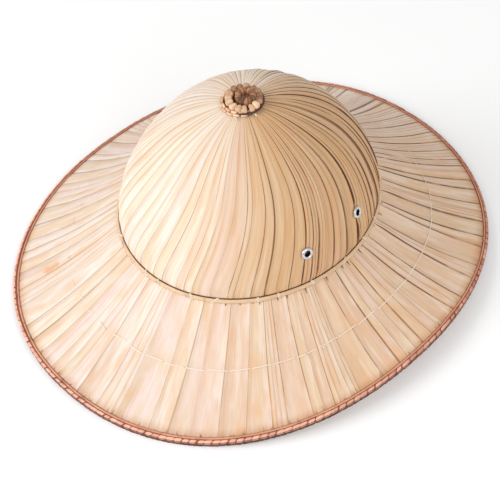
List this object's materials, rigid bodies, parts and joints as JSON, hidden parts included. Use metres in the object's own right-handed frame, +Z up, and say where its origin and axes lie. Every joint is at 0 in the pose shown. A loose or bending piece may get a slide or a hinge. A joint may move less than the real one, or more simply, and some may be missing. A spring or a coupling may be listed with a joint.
{
  "type": "palm leaf sun helmet",
  "caption": "Wide-brimmed sun helmet of radial dried palm leaves with a domed crown, cane-bound wavy rim, coiled cane button on top and small metal eyelets in the crown's sides.",
  "frame": {"origin": "centre of the bounding box in plan, on the surface that the hat rests on", "axes": "+Z up, +Y towards the back of the hat along its longest extent, -Y its front, +X the wearer's left"},
  "size_m": [0.3179, 0.3598, 0.1557],
  "materials": {
    "palm_leaf": "dry leaf with a soft sheen along its veins",
    "pale_cane": "split cane, bare",
    "rim_cane": "split cane, stained reddish orange",
    "button_cane": "twisted cane, stained dark reddish brown",
    "nickel": "pressed nickel, slightly dulled"
  },
  "bodies": {
    "root": {"crown": "palm_leaf", "brim": "palm_leaf", "fold_cane": "pale_cane", "rim_cane_outer": "rim_cane", "rim_cane_inner": "rim_cane", "rim_cane_edge": "rim_cane", "button_ring": "pale_cane", "button_knot": "button_cane", "eyelet_left_front": "nickel", "eyelet_left_back": "nickel", "eyelet_right_front": "nickel", "eyelet_right_back": "nickel"}
  },
  "joints": []
}
